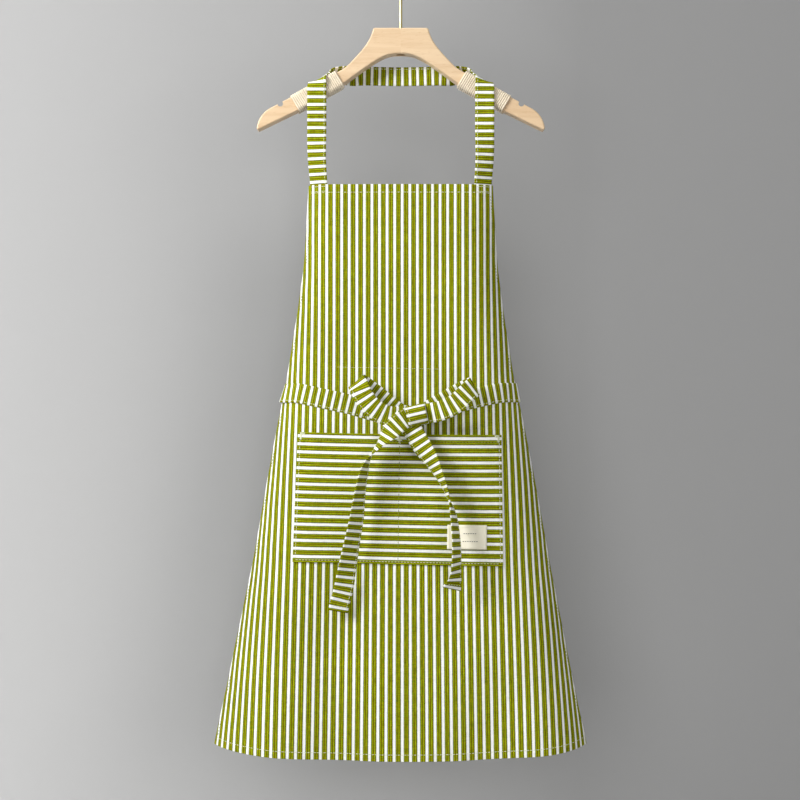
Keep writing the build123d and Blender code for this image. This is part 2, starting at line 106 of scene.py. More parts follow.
# ------------------------------------------------------------------ the apron's surface
class ApronSurface:
    """The hung cloth: flat in the middle, turning back at both sides, with soft folds to the hem.

    s is the distance along the cloth from its centre line and z is the height.
    """

    def __init__(self):
        low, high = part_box("apron_body")
        self.top = high[2]
        self.hem_centre = low[2]
        fine = np.linspace(self.hem_centre - 0.06, self.top + 0.06, 400)
        span = np.arange(-24, 25) * (fine[1] - fine[0])
        kernel = np.exp(-((span / SECTION_EASE) ** 2))
        kernel /= kernel.sum()
        self.fine = fine
        self.rows = []
        table = np.array(CLOTH_SECTIONS) * MM
        for column in range(1, 5):
            values = np.interp(fine, table[:, 0], table[:, column])
            padded = np.pad(values, 24, mode="reflect", reflect_type="odd")
            self.rows.append(np.convolve(padded, kernel, mode="valid"))
        self.hem_half = table[0, 1]

    def shape(self, z):
        return [np.interp(z, self.fine, row) for row in self.rows]

    def _integrals(self, top_angle, p, parts=24):
        """How far the turning cloth runs sideways and backwards, per unit of its length."""
        q = (np.arange(parts) + 0.5) / parts
        angle = top_angle[..., None] * (p[..., None] * q) ** TURN_POWER
        return p * np.cos(angle).mean(-1), p * np.sin(angle).mean(-1)

    def turn(self, z):
        """Flat half width, length of cloth in the turn, and the angle at its edge."""
        half, front, depth, turn = self.shape(z)
        flat = (half - turn) * FLAT_SHARE
        angles = np.linspace(0.05, 1.5, 60)
        run, back = self._integrals(angles, np.ones_like(angles))
        top_angle = np.interp(depth / (half - flat), back / run, angles)
        run, back = self._integrals(top_angle, np.ones_like(top_angle))
        return flat, (half - flat) / run, top_angle, front

    def half_cloth(self, z):
        flat, length, _, _ = self.turn(z)
        return flat + length

    def hem_z(self, x):
        return self.hem_centre + HEM_RISE * np.abs(x / self.hem_half) ** HEM_CURVE

    def down(self, z):
        """The share of the way from the bib's top to the hem."""
        return np.clip((self.top - z) / (self.top - self.hem_centre), 0, 1)

    def folds(self, s, z):
        """Soft vertical folds that grow towards the hem."""
        down = self.down(z)
        waves = sum(
            share * np.sin(2 * math.pi * s / length + phase + drift * down)
            for share, length, phase, drift in FOLDS
        )
        return waves * (FOLD_AT_BIB + FOLD_GROWTH * smooth((down - 0.25) / 0.75))

    def creases(self, s, z):
        """Small creases, broad ones and fine ones."""
        flat_s, flat_z = np.ravel(s), np.ravel(z)
        out = np.empty(len(flat_s))
        for i, (a, b) in enumerate(zip(flat_s, flat_z)):
            broad = noise.noise(Vector((a * 16, b * 7, 3.1)))
            small = noise.noise(Vector((a * 55, b * 34, 8.4)))
            out[i] = 0.9 * broad + 0.32 * small
        return out.reshape(np.shape(s)) * MM

    def fan(self, z):
        """How far the stripes spread: the cloth is eased in at the bib and given fullness at the hem."""
        return FAN_AT_BIB + FAN_GROWTH * smooth((self.down(z) - 0.22) / 0.95)

    def place(self, s, z, proud=0.0, detail=True):
        """Points on the cloth's front face, moved proud metres out along its normal."""
        s = np.asarray(s, float)
        z = np.asarray(z, float) + np.zeros_like(s)
        flat, length, top_angle, front = self.turn(z)
        p = np.clip((np.abs(s) - flat) / length, 0, None)
        run, back = self._integrals(top_angle, p)
        x = np.sign(s) * np.where(p > 0, flat + length * run, np.abs(s))
        angle = top_angle * p**TURN_POWER
        out_y = -np.cos(angle)
        out_x = np.sign(s) * np.sin(angle)
        relief = self.folds(s, z) + (self.creases(s, z) if detail else 0)
        y = front + length * back
        return np.stack([x + out_x * (proud + relief), y + out_y * (proud + relief), z], -1)

    def build_lookup(self):
        """A grid of points on the front face, for front_y."""
        self.look_z = np.linspace(self.hem_centre, self.top, 150)
        t, z = np.meshgrid(np.linspace(-1, 1, 181), self.look_z)
        self.look = self.place(t * self.half_cloth(self.look_z)[:, None], z)

    def front_y(self, x, z):
        """The y of the cloth's front face seen straight from the front, at x and z."""
        x, z = np.broadcast_arrays(np.asarray(x, float), np.asarray(z, float))
        out = np.empty(x.shape)
        rows = np.interp(z, self.look_z, np.arange(len(self.look_z)))
        for i in np.ndindex(x.shape):
            r = int(min(rows[i], len(self.look_z) - 2))
            f = rows[i] - r
            a = np.interp(x[i], self.look[r, :, 0], self.look[r, :, 1])
            b = np.interp(x[i], self.look[r + 1, :, 0], self.look[r + 1, :, 1])
            out[i] = a + (b - a) * f
        return out


def along_line(points):
    """The distance along a line at each of its points."""
    return np.concatenate([[0], np.cumsum(np.linalg.norm(np.diff(points, axis=0), axis=1))])


def sample(at, along, values):
    """Rows of values at some distances along a line, from the rows at its points."""
    return np.stack([np.interp(at, along, column) for column in values.T], -1)


def unit(vectors):
    return vectors / np.linalg.norm(vectors, axis=-1, keepdims=True)


def tube_faces(base, rings, sides, flip=False):
    """The faces of a closed tube, whose vertices start at base and go ring by ring."""
    faces = []
    for i in range(base, base + (rings - 1) * sides, sides):
        for j in range(sides):
            q = (j + 1) % sides
            face = [i + j, i + q, i + sides + q, i + sides + j]
            faces.append(face[:1] + face[:0:-1] if flip else face)
    low = [base + j for j in range(sides)]
    high = [base + (rings - 1) * sides + j for j in range(sides)]
    return faces + ([low, high[::-1]] if flip else [low[::-1], high])


def make_object(name, verts, faces, maps, material):
    """A smooth mesh object, with each UV map given per face corner."""
    mesh = bpy.data.meshes.new(name)
    mesh.from_pydata([tuple(v) for v in verts], [], faces)
    for map_name, values in maps.items():
        layer = mesh.uv_layers.new(name=map_name)
        layer.data.foreach_set("uv", np.asarray(values, float).ravel())
    mesh.polygons.foreach_set("use_smooth", [True] * len(mesh.polygons))
    mesh.materials.append(material)
    mesh.validate()
    ob = bpy.data.objects.new(name, mesh)
    bpy.context.scene.collection.objects.link(ob)
    return ob


def sheet(name, points, cloth_uv, thickness, material):
    """A closed thin sheet from a grid of points on its front."""
    rows, cols = points.shape[:2]
    normal = unit(np.cross(np.gradient(points, axis=1), np.gradient(points, axis=0)))
    if (normal * INWARD).sum(-1).mean() < 0:
        normal = -normal
    back = points + normal * thickness
    verts = np.concatenate([points.reshape(-1, 3), back.reshape(-1, 3)])
    count = rows * cols
    faces, cloth, bake = [], [], []

    def add(face, cells, left, width):
        faces.append(face)
        for r, c in cells:
            cloth.append(cloth_uv[r, c])
            bake.append((left + width * (c / (cols - 1)), 0.005 + 0.97 * (r / (rows - 1))))

    flip = np.dot(np.cross(points[0, 1] - points[0, 0], points[1, 0] - points[0, 0]), INWARD) > 0
    for r in range(rows - 1):
        for c in range(cols - 1):
            cells = [(r, c), (r, c + 1), (r + 1, c + 1), (r + 1, c)]
            if flip:
                cells.reverse()
            add([a * cols + b for a, b in cells], cells, 0.005, 0.54)
            cells = cells[::-1]
            add([count + a * cols + b for a, b in cells], cells, 0.56, 0.435)
    rim = [(0, c) for c in range(cols)] + [(r, cols - 1) for r in range(1, rows)]
    rim += [(rows - 1, c) for c in range(cols - 2, -1, -1)] + [(r, 0) for r in range(rows - 2, 0, -1)]
    for k, a in enumerate(rim):
        b = rim[(k + 1) % len(rim)]
        ia, ib = a[0] * cols + a[1], b[0] * cols + b[1]
        face = [ib, ia, count + ia, count + ib] if not flip else [ia, ib, count + ib, count + ia]
        cells = [b, a, a, b] if not flip else [a, b, b, a]
        faces.append(face)
        for j, (r, c) in enumerate(cells):
            cloth.append(cloth_uv[r, c])
            low = 0.978 if j < 2 else 0.992
            bake.append((((k if (r, c) == a else k + 1) / len(rim)) * 0.99 + 0.005, low))
    return make_object(name, verts, faces, {"Cloth": cloth, "OFBake": bake}, material)


def between(t, low, high, a, b):
    return (high - t) / (high - low) * a + (t - low) / (high - low) * b


def catmull(points, count):
    """A smooth line through points, count samples, spread by distance."""
    p = np.concatenate([[2 * points[0] - points[1]], points, [2 * points[-1] - points[-2]]])
    gaps = np.maximum(np.linalg.norm(np.diff(p[:, :3], axis=0), axis=1), 1e-6) ** 0.5
    knots = np.concatenate([[0], np.cumsum(gaps)])
    out = []
    for i in range(1, len(p) - 2):
        t = np.linspace(knots[i], knots[i + 1], 24, endpoint=False)[:, None]
        a = [between(t, knots[k], knots[k + 1], p[k], p[k + 1]) for k in (i - 1, i, i + 1)]
        b = [between(t, knots[i - 1 + k], knots[i + 1 + k], a[k], a[k + 1]) for k in (0, 1)]
        out.append(between(t, knots[i], knots[i + 1], *b))
    out.append(p[-2][None])
    line = np.concatenate(out)
    length = along_line(line[:, :3])
    return sample(np.linspace(0, length[-1], count), length, line), length[-1]


class Ribbon:
    """A sewn tape: a path of centres with the direction of its width at each."""

    def __init__(self, frames, step=2.5 * MM, width=TAPE_W, seed=0.0):
        table = np.array([list(c) + list(w) for c, w in frames], float)
        line, self.length = catmull(table, max(12, int(along_line(table[:, :3])[-1] / step)))
        self.centre = line[:, :3]
        across = line[:, 3:6]
        tangent = unit(np.gradient(self.centre, axis=0))
        self.across = unit(across - (across * tangent).sum(1, keepdims=True) * tangent)
        self.normal = np.cross(tangent, self.across)
        self.width = width
        self.along = np.linspace(0, self.length, len(self.centre))
        for i, d in enumerate(self.along):
            self.centre[i] += self.normal[i] * noise.noise(Vector((d * 22, seed, 0.3))) * TAPE_WAVE
            self.across[i] += self.normal[i] * noise.noise(Vector((d * 14, seed, 5.7))) * TAPE_TWIST
        self.across = unit(self.across)
        self.normal = unit(np.cross(tangent, self.across))

    def mesh(self, name, start=0.0, end_hem=0.0):
        """A closed ribbon with rounded edges. start shifts its stripes, end_hem is a fold at its end."""
        n = len(self.centre)
        half = self.width / 2
        edge = TAPE_T / 2
        reach = [-half + edge + (2 * half - 2 * edge) * k / TAPE_CELLS for k in range(TAPE_CELLS + 1)]
        ring = [(a, 1.0) for a in reach] + [(half, 0.0)] + [(a, -1.0) for a in reach[::-1]] + [(-half, 0.0)]
        m = len(ring)
        verts = []
        for i in range(n):
            fold = 1.0 + 0.75 * float(smooth((end_hem - (self.length - self.along[i])) / (1.2 * MM)))
            for a, b in ring:
                dip = fold - 0.16 * math.exp(-(((half - abs(a)) - 3.0 * MM) / (1.0 * MM)) ** 2)
                verts.append(self.centre[i] + self.across[i] * a + self.normal[i] * b * edge * dip)
        faces, cloth, bake = [], [], []
        for i in range(n - 1):
            for k in range(m):
                j = (k + 1) % m
                faces.append([i * m + k, i * m + j, (i + 1) * m + j, (i + 1) * m + k])
                for row, col, turn in ((i, k, k), (i, j, k + 1), (i + 1, j, k + 1), (i + 1, k, k)):
                    cloth.append((start + self.along[row], ring[col][0]))
                    bake.append((0.01 + 0.97 * row / (n - 1), 0.01 + 0.97 * turn / m))
        for i, order in ((0, range(m - 1, -1, -1)), (n - 1, range(m))):
            faces.append([i * m + k for k in order])
            for k in order:
                cloth.append((start + self.along[i], ring[k][0]))
                bake.append((0.985 + 0.01 * ring[k][0] / self.width, 0.99 + 0.004 * ring[k][1]))
        return make_object(name, verts, faces, {"Cloth": cloth, "OFBake": bake}, CANVAS)

    def seam(self, offset, side):
        """Points and normals of a line of stitches, offset across and on one face."""
        keep = (self.along > TAPE_MARGIN) & (self.along < self.length - TAPE_MARGIN)
        points = self.centre + self.across * offset + self.normal * side * TAPE_T / 2 * 0.86
        return points[keep], (self.normal * side)[keep]

    def cross_seam(self, from_end, side):
        """Stitches across the tape, from_end metres before its end."""
        i = int(np.searchsorted(self.along, self.length - from_end))
        reach = np.linspace(-0.44, 0.44, 20)[:, None] * self.width
        up = self.normal[i] * side
        points = self.centre[i] + self.across[i] * reach + up * TAPE_T / 2 * 1.55
        return points, np.tile(up, (20, 1))


def stitches(name, lines, material, pitch=STITCH_PITCH, length=STITCH_LEN, radius=THREAD_R):
    """Running stitches along lines of (points, normals): short arched threads."""
    verts, faces = [], []
    sides, stations = 6, len(STITCH_ARCH)
    for points, normals in lines:
        along = along_line(points)
        for k in range(int(along[-1] / pitch)):
            start = (k + 0.5) * pitch - length / 2
            base = len(verts)
            at = start + np.linspace(0, length, stations)
            up = unit(sample(at, along, normals))
            mid = sample(at, along, points) + up * (STITCH_ARCH * radius)[:, None]
            side = unit(np.cross(np.gradient(mid, axis=0), up))
            fat = STITCH_FAT * radius
            for i in range(stations):
                for j in range(sides):
                    a = 2 * math.pi * j / sides
                    verts.append(mid[i] + fat[i] * (side[i] * math.cos(a) + up[i] * math.sin(a)))
            faces += tube_faces(base, stations, sides)
    ob = make_object(name, verts, faces, {}, material)
    return ob


# ------------------------------------------------------------------ materials
def grey(value):
    return (value, value, value)


class Material:
    """A node material, with a short call for each kind of node used here."""

    def __init__(self, name, roughness, sheen=0.0, metallic=0.0, specular=0.22):
        self.mat = bpy.data.materials.new(name)
        self.mat.use_nodes = True
        self.nodes, self.links = self.mat.node_tree.nodes, self.mat.node_tree.links
        self.shader = self.nodes["Principled BSDF"]
        self.shader.inputs["Roughness"].default_value = roughness
        self.shader.inputs["Metallic"].default_value = metallic
        if not metallic:
            self.shader.inputs["Specular IOR Level"].default_value = specular
        if sheen:
            self.shader.inputs["Sheen Weight"].default_value = sheen
            self.shader.inputs["Sheen Roughness"].default_value = 0.45

    def feed(self, socket, value):
        """Set a socket to a number or a colour, or link it to another node."""
        if isinstance(value, (int, float)):
            socket.default_value = value
        elif isinstance(value, tuple):
            socket.default_value = (*value, 1.0)
        else:
            self.links.new(value, socket)

    def colour(self, value):
        self.feed(self.shader.inputs["Base Color"], value)

    def coords(self):
        return self.nodes.new("ShaderNodeTexCoord").outputs["Object"]

    def math(self, operation, a, b=None):
        node = self.nodes.new("ShaderNodeMath")
        node.operation = operation
        self.feed(node.inputs[0], a)
        if b is not None:
            self.feed(node.inputs[1], b)
        return node.outputs[0]

    def scale_add(self, a, share, b):
        """a times share, plus b."""
        return self.math("ADD", self.math("MULTIPLY", a, share), b)

    def ramp(self, factor, stops):
        node = self.nodes.new("ShaderNodeValToRGB")
        elements = node.color_ramp.elements
        while len(elements) < len(stops):
            elements.new(0.5)
        for element, (place, colour) in zip(elements, stops):
            element.position = place
            element.color = (*colour, 1.0)
        self.links.new(factor, node.inputs[0])
        return node.outputs["Color"]

    def noise(self, vector, size, detail, rough=0.5):
        """Noise of one size, or of three where size is a tuple."""
        node = self.nodes.new("ShaderNodeTexNoise")
        if isinstance(size, tuple):
            stretch = self.nodes.new("ShaderNodeMapping")
            stretch.inputs["Scale"].default_value = size
            self.links.new(vector, stretch.inputs["Vector"])
            vector, size = stretch.outputs["Vector"], 1.0
        node.inputs["Scale"].default_value = size
        node.inputs["Detail"].default_value = detail
        node.inputs["Roughness"].default_value = rough
        self.links.new(vector, node.inputs["Vector"])
        return node.outputs["Fac"]

    def mix(self, factor, a, b, mode="MIX"):
        node = self.nodes.new("ShaderNodeMix")
        node.data_type = "RGBA"
        node.blend_type = mode
        for index, value in ((0, factor), (6, a), (7, b)):
            self.feed(node.inputs[index], value)
        return node.outputs[2]

    def bump(self, height, strength, distance):
        node = self.nodes.new("ShaderNodeBump")
        node.inputs["Strength"].default_value = strength
        node.inputs["Distance"].default_value = distance
        self.links.new(height, node.inputs["Height"])
        self.links.new(node.outputs[0], self.shader.inputs["Normal"])


GREEN_MID = (0.190, 0.224, 0.003)
GREEN_EDGE = (0.068, 0.094, 0.001)
GREEN_LIGHT = (0.285, 0.336, 0.008)
OLIVE = (0.128, 0.092, 0.001)
WHITE_YARN = (0.94, 0.94, 0.92)
# One repeat of the stripes, from the middle of a white one to the middle of the next.
STRIPE_STOPS = [
    (0.0, WHITE_YARN), (0.162, WHITE_YARN), (0.188, GREEN_EDGE), (0.25, GREEN_MID), (0.31, GREEN_LIGHT),
    (0.38, GREEN_MID), (0.43, OLIVE), (0.48, OLIVE), (0.55, GREEN_LIGHT), (0.62, GREEN_LIGHT),
    (0.69, OLIVE), (0.75, GREEN_MID), (0.812, GREEN_EDGE), (0.838, WHITE_YARN), (1.0, WHITE_YARN),
]
DYED_STOPS = [(0.175, grey(0.0)), (0.19, grey(1.0)), (0.81, grey(1.0)), (0.825, grey(0.0))]
YARN_PITCH = 0.75 * MM


def striped_canvas():
    """Yarn-dyed canvas. The Cloth map is in metres: across the stripes, then along them."""
    m = Material("striped_canvas", 0.95, specular=0.05)
    uv = m.nodes.new("ShaderNodeUVMap")
    uv.uv_map = "Cloth"
    cloth = uv.outputs[0]
    split = m.nodes.new("ShaderNodeSeparateXYZ")
    m.links.new(cloth, split.inputs[0])
    across, along = split.outputs[0], split.outputs[1]
    # yarns wander a little, so the stripe edges aren't ruled lines
    wander = m.noise(cloth, (300, 420, 1), 2.0)
    shift = m.math("MULTIPLY", m.math("SUBTRACT", wander, 0.5), 0.045)
    place = m.math("FRACT", m.scale_add(across, 1 / STRIPE, shift))
    stripe = m.ramp(place, STRIPE_STOPS)
    dyed = m.ramp(place, DYED_STOPS)
    # the dye drifts between yellow and blue green, and leaves the white yarns clean
    drift = m.noise(cloth, (900, 330, 1), 3.0, 0.6)
    tint = m.ramp(drift, [(0.36, (0.80, 1.06, 1.0)), (0.5, grey(1.0)), (0.64, (1.16, 0.93, 1.0))])
    stripe = m.mix(dyed, stripe, m.mix(1.0, stripe, tint, "MULTIPLY"))
    # slubs: yarns that are thicker, lighter or darker for a few millimetres
    warp = m.noise(cloth, (1500, 90, 1), 2.0)
    weft = m.noise(cloth, (110, 1300, 1), 2.0)
    fleck = m.scale_add(warp, 0.75, m.math("MULTIPLY", weft, 0.45))
    shade = m.ramp(fleck, [(0.38, (0.42, 0.42, 0.38)), (0.58, grey(1.0)), (0.78, (1.55, 1.55, 1.35))])
    worn = m.mix(m.scale_add(dyed, 0.72, 0.2), stripe, shade, "MULTIPLY")
    cloud = m.noise(cloth, (9, 9, 1), 3.0)
    tone = m.ramp(cloud, [(0.3, (0.90, 0.90, 0.89)), (0.7, grey(1.05))])
    m.colour(m.mix(1.0, worn, tone, "MULTIPLY"))
    # plain weave
    over = m.math("SINE", m.math("MULTIPLY", across, 2 * math.pi / YARN_PITCH))
    under = m.math("SINE", m.math("MULTIPLY", along, 2 * math.pi / YARN_PITCH))
    weave = m.math("MULTIPLY", over, under)
    m.bump(m.scale_add(weave, 0.5, m.math("MULTIPLY", fleck, 1.6)), 0.55, 0.16 * MM)
    return m.mat


BEECH_DARK = (0.690, 0.500, 0.310)
BEECH = (0.733, 0.545, 0.350)
BEECH_LIGHT = (0.762, 0.585, 0.387)


def wood(name, offset):
    """Pale beech: long fine grain along the arm, small rays, a satin lacquer."""
    m = Material(name, 0.42, specular=0.4)
    m.shader.inputs["Coat Weight"].default_value = 0.25
    m.shader.inputs["Coat Roughness"].default_value = 0.28
    place = m.nodes.new("ShaderNodeMapping")
    place.inputs["Location"].default_value = offset
    m.links.new(m.coords(), place.inputs["Vector"])
    grain = m.noise(place.outputs[0], (7, 160, 120), 5.0, 0.6)
    rings = m.noise(place.outputs[0], (3.2, 24, 30), 3.0)
    rays = m.noise(place.outputs[0], (130, 500, 900), 1.0)
    base = m.ramp(rings, [(0.25, BEECH_DARK), (0.52, BEECH), (0.78, BEECH_LIGHT)])
    lines = m.ramp(grain, [(0.35, (0.91, 0.87, 0.83)), (0.55, grey(1.0)), (0.8, (1.02, 1.01, 1.0))])
    flecks = m.ramp(rays, [(0.62, grey(1.0)), (0.74, (0.86, 0.78, 0.70))])
    m.colour(m.mix(0.55, m.mix(0.9, base, lines, "MULTIPLY"), flecks, "MULTIPLY"))
    m.feed(m.shader.inputs["Roughness"], m.scale_add(grain, 0.18, 0.32))
    m.bump(grain, 0.25, 0.12 * MM)
    return m.mat


def brass():
    """Pale gold plate with faint drawing marks."""
    m = Material("pale_brass", 0.25, metallic=1.0)
    marks = m.noise(m.coords(), (900, 900, 40), 2.0)
    tone = m.noise(m.coords(), (60, 60, 60), 3.0)
    m.colour(m.ramp(tone, [(0.3, (0.62, 0.53, 0.24)), (0.7, (0.76, 0.67, 0.34))]))
    m.feed(m.shader.inputs["Roughness"], m.scale_add(marks, 0.07, 0.33))
    return m.mat


def plain_yarn(name, dark, light, scale):
    """Thread, twine or label cloth: fine fibre noise in colour and bump."""
    m = Material(name, 0.85, sheen=0.15)
    fibre = m.noise(m.coords(), scale, 3.0, 0.65)
    patch = m.noise(m.coords(), scale / 12, 2.0)
    both = m.scale_add(fibre, 0.6, m.math("MULTIPLY", patch, 0.4))
    m.colour(m.ramp(both, [(0.35, dark), (0.65, light)]))
    m.bump(fibre, 0.5, 0.1 * MM)
    return m.mat


CANVAS = striped_canvas()
THREAD = plain_yarn("thread_cotton", (0.62, 0.66, 0.42), (0.80, 0.82, 0.62), 2600)
OLIVE_THREAD = plain_yarn("thread_olive", (0.16, 0.18, 0.02), (0.30, 0.33, 0.06), 2600)
TWINE = plain_yarn("twine_cotton", (0.66, 0.56, 0.42), (0.84, 0.75, 0.60), 1500)
LABEL = plain_yarn("label_cotton", (0.93, 0.88, 0.70), (0.96, 0.92, 0.77), 1800)
INK = plain_yarn("label_mark", (0.10, 0.10, 0.08), (0.20, 0.19, 0.15), 2600)
BRASS = brass()
for node_name, material in (
    ("hook_wire", BRASS),
    ("hook_washer", BRASS),
    ("hanger_left_arm", wood("beech_left", (0.0, 0.0, 0.0))),
    ("hanger_right_arm", wood("beech_right", (3.7, 1.9, 0.6))),
):
    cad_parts[node_name].material_slots[0].material = material

surface = ApronSurface()
surface.build_lookup()


# ------------------------------------------------------------------ apron body and hems
def body_grid():
    """Distances along the cloth and heights of the apron's grid, closer together at its edges."""
    height = surface.top - surface.hem_centre
    ends = np.array([0.5, 2, 4, 6, 7.4, 8.2, 9.2, 10.2, 11, 12.5, 14.5]) * MM / height
    rows = np.unique(np.concatenate([np.linspace(0, 1, 150), ends, 1 - ends]))
    side = np.array([0.2, 0.5, 1.0, 1.8, 2.6]) * 0.01
    cols = np.unique(np.concatenate([np.linspace(-1, 1, 125), side - 1, 1 - side]))
    t, down = np.meshgrid(cols, rows)
    low = surface.hem_z(t * surface.hem_half)
    z = surface.top + (low - surface.top) * down
    return t * surface.half_cloth(z), z


def on_apron(ob, node=None):
    """Put a piece on body apron, in place of a CAD node where one is given."""
    if node:
        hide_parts(node)
    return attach(ob, "apron")


def cloth_piece(name, s, z, proud, node):
    """A piece of the striped cloth that follows the apron's surface."""
    uv = np.stack([s / surface.fan(z) - STRIPE_PHASE, z], -1)
    ob = sheet(name, surface.place(s, z, proud), uv, CLOTH_T, CANVAS)
    return on_apron(ob, node)


BEHIND = -(CLOTH_T + 0.15 * MM)
body = cloth_piece("apron_cloth", *body_grid(), 0.0, "apron_body")


def across_rows(top_gap, low_gap, at_hem):
    """A strip's grid along the top or the hem of the apron, a little narrower than the body."""
    t, f = np.meshgrid(np.linspace(-1, 1, 125), np.linspace(0, 1, 7))
    if at_hem:
        z = surface.hem_z(t * surface.hem_half) + low_gap + (top_gap - low_gap) * (1 - f)
    else:
        z = surface.top - top_gap - (low_gap - top_gap) * f
    return t * (surface.half_cloth(z) - MM), z


def down_side(sign):
    """A side hem's grid."""
    f, down = np.meshgrid(np.linspace(0, 1, 5), np.linspace(0, 1, 150))
    high, low = surface.top - 11.5 * MM, surface.hem_z(surface.hem_half) + 11 * MM
    z = high + (low - high) * down
    return sign * (surface.half_cloth(z) - 0.4 * MM - SIDE_SEAM * f), z


bib_rows = across_rows(0.3 * MM, 11.3 * MM, False)
bib_hem = cloth_piece("bib_hem_cloth", *bib_rows, BEHIND, "bib_top_hem")
hem_rows = across_rows(10.3 * MM, 0.3 * MM, True)
hem = cloth_piece("bottom_hem_cloth", *hem_rows, BEHIND, "bottom_hem")
for node, sign in (("left_side_hem", -1), ("right_side_hem", 1)):
    cloth_piece(f"{node}_cloth", *down_side(sign), BEHIND, node)


def cloth_seam(s, z, proud):
    """A line of stitches on the apron's surface: points and the direction they stand out in."""
    s, z = np.broadcast_arrays(np.asarray(s, float), np.asarray(z, float))
    points = surface.place(s, z, proud)
    return points, unit(surface.place(s, z, proud + (1 if proud >= 0 else -1) * MM) - points)


body_lines, side_lines = [], []
along = np.linspace(-1, 1, 240)
hem_seam_z = surface.hem_z(along * surface.hem_half) + HEM_SEAM
bib_seam_z = np.full(240, surface.top - BIB_SEAM)
side_seam_z = np.linspace(surface.top - 13 * MM, surface.hem_centre + 22 * MM, 300)
side_seam_s = surface.half_cloth(side_seam_z) - SIDE_SEAM + 1.6 * MM
for proud in (0.0, BEHIND - CLOTH_T):
    for z in (hem_seam_z, bib_seam_z):
        body_lines.append(cloth_seam(along * (surface.half_cloth(z) - 5 * MM), z, proud))
    for sign in (-1, 1):
        side_lines.append(cloth_seam(sign * side_seam_s, side_seam_z, proud))
body_thread = stitches("apron_stitches", body_lines, THREAD)
side_thread = stitches("side_hem_stitches", side_lines, OLIVE_THREAD)
waist = np.linspace(-82, 51, 80) * MM
waist_line = cloth_seam(waist, -529.5 * MM - 0.02 * waist, -0.05 * MM)
waist_thread = stitches(
    "waist_stitches", [waist_line], THREAD, pitch=2.5 * MM, length=2.45 * MM, radius=0.26 * MM
)
for ob in (waist_thread, body_thread, side_thread):
    on_apron(ob)


# ------------------------------------------------------------------ pocket
# Corners as x and z: left, then right.
POCKET_TOP = np.array([(-133.0, -611.8), (130.3, -615.6)]) * MM
POCKET_LOW = np.array([(-139.0, -778.5), (131.5, -784.5)]) * MM
POCKET_WIDTH = 265.0 * MM
POCKET_DEPTH = 169.0 * MM
POCKET_RUN = 167.5 * MM  # the length of its stripes' side
POCKET_STRIPE = 10.35 * MM
POCKET_FIRST_STRIPE = 4.9 * MM
POCKET_GAPE = 4.2 * MM
POCKET_SAG = 0.9 * MM
POCKET_EDGE_SEAM = 3.2 * MM
POCKET_HEM_SEAM = 0.0565  # of its depth


def pocket_place(u, v, proud=0.0):
    """The pocket's front face. u runs 0 to 1 from left to right and v 0 to 1 from top to bottom."""
    u, v = np.broadcast_arrays(np.asarray(u, float), np.asarray(v, float))
    top = POCKET_TOP[0] + (POCKET_TOP[1] - POCKET_TOP[0]) * u[..., None]
    low = POCKET_LOW[0] + (POCKET_LOW[1] - POCKET_LOW[0]) * u[..., None]
    x, z = np.moveaxis(top + (low - top) * v[..., None], -1, 0)
    z = z - POCKET_SAG * np.sin(math.pi * u) * (1 - v)
    # each half gapes at the top and stands out a little lower down
    bulge = np.sin(math.pi * ((u * 2) % 1.0 * (u < 1))) ** 0.8
    lower = smooth(v * 3) * (1 - smooth((v - 0.6) / 0.4))
    gape = bulge * (POCKET_GAPE * (1 - smooth(v / 0.75)) + 1.3 * MM * lower)
    # the turned edge is thicker and the seam presses a groove in it
    edge = np.minimum(np.minimum(u, 1 - u) * POCKET_WIDTH, np.minimum(1 - v, 1.0) * POCKET_DEPTH)
    turned = 0.35 * MM * smooth((8.5 * MM - edge) / (1.4 * MM))
    seat = (0.3 + 1.1 * smooth((14 * MM - v * POCKET_DEPTH) / (5 * MM))) * MM
    pinch = 0.35 * MM * np.exp(-(((edge - POCKET_EDGE_SEAM) / (1.2 * MM)) ** 2))
    wavy = np.array([noise.noise(Vector((a * 30, b * 22, 4.4))) for a, b in zip(np.ravel(x), np.ravel(z))])
    out = seat + gape + turned - pinch + 0.35 * MM * wavy.reshape(x.shape) + proud
    return np.stack([x, surface.front_y(x, z) - CLOTH_T - out, z], -1)


def pocket_uv(u, v):
    """Stripes run across the pocket, the first white one just under its top edge."""
    down = v * POCKET_RUN - POCKET_FIRST_STRIPE
    return np.stack([down * STRIPE / POCKET_STRIPE, u * POCKET_WIDTH], -1)


edge_steps = np.array([0.4, 1.6, 2.6, 3.4, 4.4, 6.5, 8.0, 9.2]) * MM / POCKET_WIDTH
u_steps = np.unique(np.concatenate([np.linspace(0, 1, 67), edge_steps, 1 - edge_steps, [0.5]]))
v_steps = np.unique(np.concatenate([np.linspace(0, 1, 45), edge_steps * 1.55, 1 - edge_steps * 1.55]))


def pocket_piece(name, u_steps, v_steps, proud, node):
    u, v = np.meshgrid(u_steps, v_steps)
    ob = sheet(name, pocket_place(u, v, proud), pocket_uv(u, v), CLOTH_T, CANVAS)
    return on_apron(ob, node)


pocket = pocket_piece("pocket_cloth", u_steps, v_steps, 0.0, "pocket_panel")
hem_u, hem_v = np.linspace(0.008, 0.992, 67), np.linspace(0.002, 0.077, 6)
pocket_hem = pocket_piece("pocket_hem_cloth", hem_u, hem_v, -(CLOTH_T + 0.12 * MM), "pocket_top_hem")


def facing(points):
    """A line of points and the front's direction at each."""
    return points, np.tile(OUT, (len(points), 1))


def pocket_line(u, v, proud=0.0):
    return facing(pocket_place(u, v, proud))


def tack(u, v, width, height, zigzag):
    """A bartack: dense zigzag thread over the corner of the pocket."""
    f = np.linspace(0, 1, zigzag)
    swing = np.where(np.arange(zigzag) % 2, 0.5, -0.5)
    return pocket_line(u + swing * width, v + (f - 0.5) * height, 0.05 * MM)


